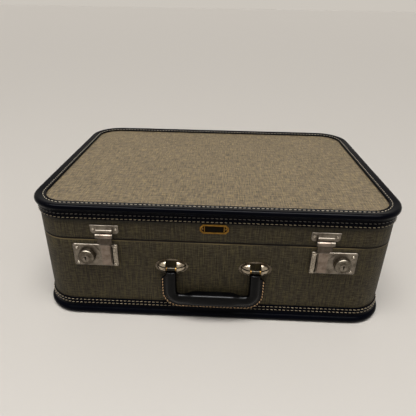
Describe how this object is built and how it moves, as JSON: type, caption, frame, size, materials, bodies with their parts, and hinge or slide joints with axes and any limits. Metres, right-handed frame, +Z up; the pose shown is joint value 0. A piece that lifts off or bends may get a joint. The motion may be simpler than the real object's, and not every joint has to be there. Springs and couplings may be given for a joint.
{
  "type": "overnight suitcase",
  "caption": "Closed hard-sided travel case: canvas-covered board trays with bound edges, hinged lid, sliding-knob locks with hasps, a swinging padded handle and slotted lid stays.",
  "frame": {"origin": "middle of the footprint, on the surface it stands on", "axes": "+X along the width, to the right of someone facing the locks, which face -Y; +Z up"},
  "size_m": [0.4646, 0.3428, 0.1644],
  "materials": {
    "fibreboard": "matte",
    "olive_canvas": "coated",
    "binding_cloth": "satin",
    "lining_paper": "matte",
    "nickel_plate": "satin",
    "spring_steel": "satin",
    "black_leather": "satin",
    "linen_thread": "waxed",
    "brass": "satin"
  },
  "bodies": {
    "base": {"base_shell": "fibreboard", "base_canvas": "olive_canvas", "bottom_canvas": "olive_canvas", "base_binding": "binding_cloth", "base_lining": "lining_paper", "valance": "lining_paper", "lock_plate_left": "nickel_plate", "lock_plate_right": "nickel_plate", "lock_rivets_left": "nickel_plate", "lock_rivets_right": "nickel_plate", "lock_spring_left": "spring_steel", "lock_spring_right": "spring_steel", "handle_loop_left": "nickel_plate", "handle_loop_right": "nickel_plate", "handle_pin_left": "spring_steel", "handle_pin_right": "spring_steel", "hinge_base_leaf_left": "nickel_plate", "hinge_base_leaf_right": "nickel_plate", "hinge_pin_left": "spring_steel", "hinge_pin_right": "spring_steel", "hinge_base_rivets": "nickel_plate", "stay_stud_left": "nickel_plate", "stay_stud_right": "nickel_plate"},
    "lid": {"lid_shell": "fibreboard", "lid_canvas": "olive_canvas", "top_canvas": "olive_canvas", "lid_binding": "binding_cloth", "lid_lining": "lining_paper", "hinge_lid_leaf_left": "nickel_plate", "hinge_lid_leaf_right": "nickel_plate", "hinge_lid_rivets": "nickel_plate", "hasp_plate_left": "nickel_plate", "hasp_plate_right": "nickel_plate", "hasp_rivets": "nickel_plate", "hasp_pin_left": "spring_steel", "hasp_pin_right": "spring_steel", "stay_pivot_left": "nickel_plate", "stay_pivot_right": "nickel_plate", "nameplate": "brass", "nameplate_nails": "brass"},
    "hasp_left_body": {"hasp_left": "nickel_plate", "hasp_hook_left": "spring_steel"},
    "hasp_right_body": {"hasp_right": "nickel_plate", "hasp_hook_right": "spring_steel"},
    "knob_left_body": {"knob_left": "nickel_plate", "bolt_left": "spring_steel"},
    "knob_right_body": {"knob_right": "nickel_plate", "bolt_right": "spring_steel"},
    "plug_left_body": {"key_plug_left": "brass"},
    "plug_right_body": {"key_plug_right": "brass"},
    "handle": {"handle_leather": "black_leather", "handle_core": "spring_steel"},
    "stay_left_body": {"stay_arm_left": "nickel_plate"},
    "stay_right_body": {"stay_arm_right": "nickel_plate"}
  },
  "joints": [
    {"name": "lid_hinge", "type": "hinge", "parent": "base", "child": "lid", "pos_m": [0, 0.1634, 0.1175], "axis": [-1, 0, 0], "range_deg": [0, 100]},
    {"name": "handle_pivot", "type": "hinge", "parent": "base", "child": "handle", "pos_m": [0, -0.1674, 0.0808], "axis": [-1, 0, 0], "range_deg": [0, 150]},
    {"name": "hasp_left_hinge", "type": "hinge", "parent": "lid", "child": "hasp_left_body", "pos_m": [-0.1347, -0.1646, 0.1243], "axis": [-1, 0, 0], "range_deg": [0, 120]},
    {"name": "knob_left_slide", "type": "slide", "parent": "base", "child": "knob_left_body", "axis": [-1, 0, 0], "range_m": [0, 0.004], "stiffness_N_per_m": 300, "springref_m": -0.001, "deforming": ["lock_spring_left"]},
    {"name": "key_left_turn", "type": "hinge", "parent": "knob_left_body", "child": "plug_left_body", "pos_m": [-0.1592, -0.16, 0.0945], "axis": [0, -1, 0], "range_deg": [0, 90]},
    {"name": "stay_left_turn", "type": "hinge", "parent": "lid", "child": "stay_left_body", "pos_m": [-0.21475, 0.10253, 0.1295], "axis": [1, 0, 0], "range_deg": [0, 50]},
    {"name": "hasp_right_hinge", "type": "hinge", "parent": "lid", "child": "hasp_right_body", "pos_m": [0.1347, -0.1646, 0.1243], "axis": [-1, 0, 0], "range_deg": [0, 120]},
    {"name": "knob_right_slide", "type": "slide", "parent": "base", "child": "knob_right_body", "axis": [1, 0, 0], "range_m": [0, 0.004], "stiffness_N_per_m": 300, "springref_m": -0.001, "deforming": ["lock_spring_right"]},
    {"name": "key_right_turn", "type": "hinge", "parent": "knob_right_body", "child": "plug_right_body", "pos_m": [0.1592, -0.16, 0.0945], "axis": [0, -1, 0], "range_deg": [0, 90]},
    {"name": "stay_right_turn", "type": "hinge", "parent": "lid", "child": "stay_right_body", "pos_m": [0.21475, 0.10253, 0.1295], "axis": [1, 0, 0], "range_deg": [0, 50]}
  ],
  "couplings": [
    {"joint": "stay_left_turn", "follows": "lid_hinge", "ratio": 0.5},
    {"joint": "stay_right_turn", "follows": "lid_hinge", "ratio": 0.5}
  ]
}
